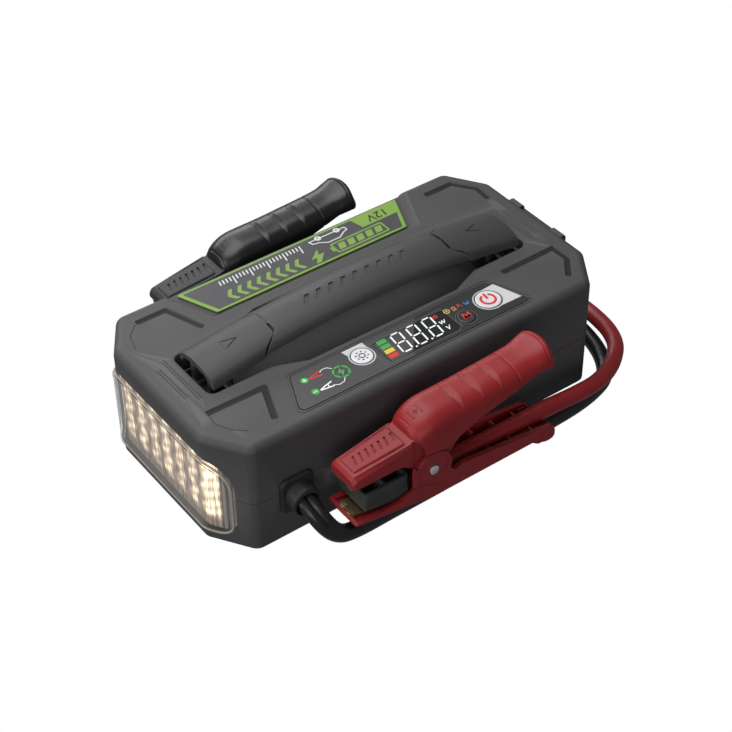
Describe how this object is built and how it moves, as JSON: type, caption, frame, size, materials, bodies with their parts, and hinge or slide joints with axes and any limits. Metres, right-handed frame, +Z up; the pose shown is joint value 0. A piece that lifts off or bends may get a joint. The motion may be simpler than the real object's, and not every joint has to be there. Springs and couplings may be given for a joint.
{
  "type": "jump starter pack",
  "caption": "Portable car jump starter pack with carrying strap, work lamp, control panel and two docked battery clamps on thick leads.",
  "frame": {"origin": "middle of the footprint, without the free leads, on the surface the feet stand on", "axes": "+X along the case from the lamp to the port end, -Y the control side, +Z up"},
  "size_m": [0.2704, 0.192, 0.0858],
  "materials": {
    "case_grey": "fine matte grain, dark grey",
    "clamp_red": "satin red plastic",
    "grip_black": "glossy black plastic",
    "jaw_grey": "matte dark grey plastic",
    "lead_red": "smooth red silicone sheath",
    "lead_black": "smooth black silicone sheath",
    "black_rubber": "matte black rubber",
    "clear_lens": "clear fluted polycarbonate",
    "white_reflector": "white reflector plastic",
    "board_green": "solder-masked circuit board",
    "overlay_grey": "printed polycarbonate overlay",
    "button_white": "translucent white button",
    "display_black": "dark display glass",
    "label_green": "printed label, grey and lime green",
    "cell_silver": "aluminium laminate pouch cell",
    "copper": "bare brass or copper",
    "steel": "plain steel"
  },
  "bodies": {
    "case": {"upper_housing": "case_grey", "lower_housing": "case_grey", "dock_front": "case_grey", "dock_back": "case_grey", "lamp_lens": "clear_lens", "lamp_reflector": "white_reflector", "lamp_led_board": "board_green", "main_board": "board_green", "port_board": "board_green", "foot_left_front": "black_rubber", "foot_left_back": "black_rubber", "foot_right_front": "black_rubber", "foot_right_back": "black_rubber", "gland_front": "black_rubber", "gland_back": "black_rubber", "screw_left_front": "steel", "screw_left_back": "steel", "screw_right_front": "steel", "screw_right_back": "steel", "handle_left_pin": "steel", "handle_right_pin": "steel", "red_clamp_pivot_pin": "steel", "black_clamp_pivot_pin": "steel", "red_clamp_spring": "steel", "black_clamp_spring": "steel", "battery_tray": "jaw_grey", "start_relay": "jaw_grey", "power_switch": "jaw_grey", "light_switch": "jaw_grey", "mode_switch": "jaw_grey", "black_clamp_lower_arm": "jaw_grey", "battery_cell_1": "cell_silver", "battery_cell_2": "cell_silver", "battery_cell_3": "cell_silver", "battery_cell_4": "cell_silver", "busbar_positive": "copper", "busbar_negative": "copper", "red_clamp_lower_contact": "copper", "black_clamp_lower_contact": "copper", "display_module": "display_black", "display_window": "display_black", "panel_overlay": "overlay_grey", "label_plate": "label_green", "red_clamp_lower_arm": "clamp_red", "red_lead": "lead_red", "black_lead": "lead_black"},
    "strap": {"handle_strap": "case_grey"},
    "left_cap": {"handle_left_cap": "case_grey"},
    "right_cap": {"handle_right_cap": "case_grey"},
    "power_button": {"power_button": "button_white"},
    "light_button": {"light_button": "button_white"},
    "mode_button": {"mode_button": "button_white"},
    "red_jaw": {"red_clamp_upper_jaw": "clamp_red", "red_clamp_grip": "clamp_red", "red_clamp_upper_contact": "copper"},
    "black_jaw": {"black_clamp_upper_jaw": "jaw_grey", "black_clamp_grip": "grip_black", "black_clamp_upper_contact": "copper"},
    "port_cover": {"port_cover": "black_rubber"}
  },
  "joints": [
    {"name": "handle_lift", "type": "slide", "parent": "case", "child": "strap", "axis": [0, 0, 1], "range_m": [0, 0.006]},
    {"name": "handle_left_tilt", "type": "hinge", "parent": "strap", "child": "left_cap", "pos_m": [-0.0595, 0, 0.075], "axis": [0, -1, 0], "range_deg": [0, 13.5]},
    {"name": "handle_right_tilt", "type": "hinge", "parent": "strap", "child": "right_cap", "pos_m": [0.0595, 0, 0.075], "axis": [0, 1, 0], "range_deg": [0, 13.5]},
    {"name": "power_press", "type": "slide", "parent": "case", "child": "power_button", "axis": [0, 0, -1], "range_m": [0, 0.0006], "stiffness_N_per_m": 700, "springref_m": -0.0008},
    {"name": "light_press", "type": "slide", "parent": "case", "child": "light_button", "axis": [0, 0, -1], "range_m": [0, 0.0006], "stiffness_N_per_m": 600, "springref_m": -0.0008},
    {"name": "mode_press", "type": "slide", "parent": "case", "child": "mode_button", "axis": [0, 0, -1], "range_m": [0, 0.0006], "stiffness_N_per_m": 600, "springref_m": -0.0008},
    {"name": "red_clamp_open", "type": "hinge", "parent": "case", "child": "red_jaw", "pos_m": [-0.0224, -0.083, 0.0355], "axis": [0, 1, 0], "range_deg": [0, 26], "stiffness_Nm_per_rad": 1.2, "springref_deg": -28.65, "deforming": ["red_clamp_spring"]},
    {"name": "black_clamp_open", "type": "hinge", "parent": "case", "child": "black_jaw", "pos_m": [-0.0224, 0.083, 0.0355], "axis": [0, 1, 0], "range_deg": [0, 26], "stiffness_Nm_per_rad": 1.2, "springref_deg": -28.65, "deforming": ["black_clamp_spring"]},
    {"name": "port_cover_open", "type": "hinge", "parent": "case", "child": "port_cover", "pos_m": [0.1219, 0, 0.0653], "axis": [0, -1, 0], "range_deg": [0, 110]}
  ],
  "couplings": [
    {"joint": "handle_left_tilt", "follows": "handle_lift", "rad_per_m": 37.7},
    {"joint": "handle_right_tilt", "follows": "handle_lift", "rad_per_m": 37.7}
  ]
}
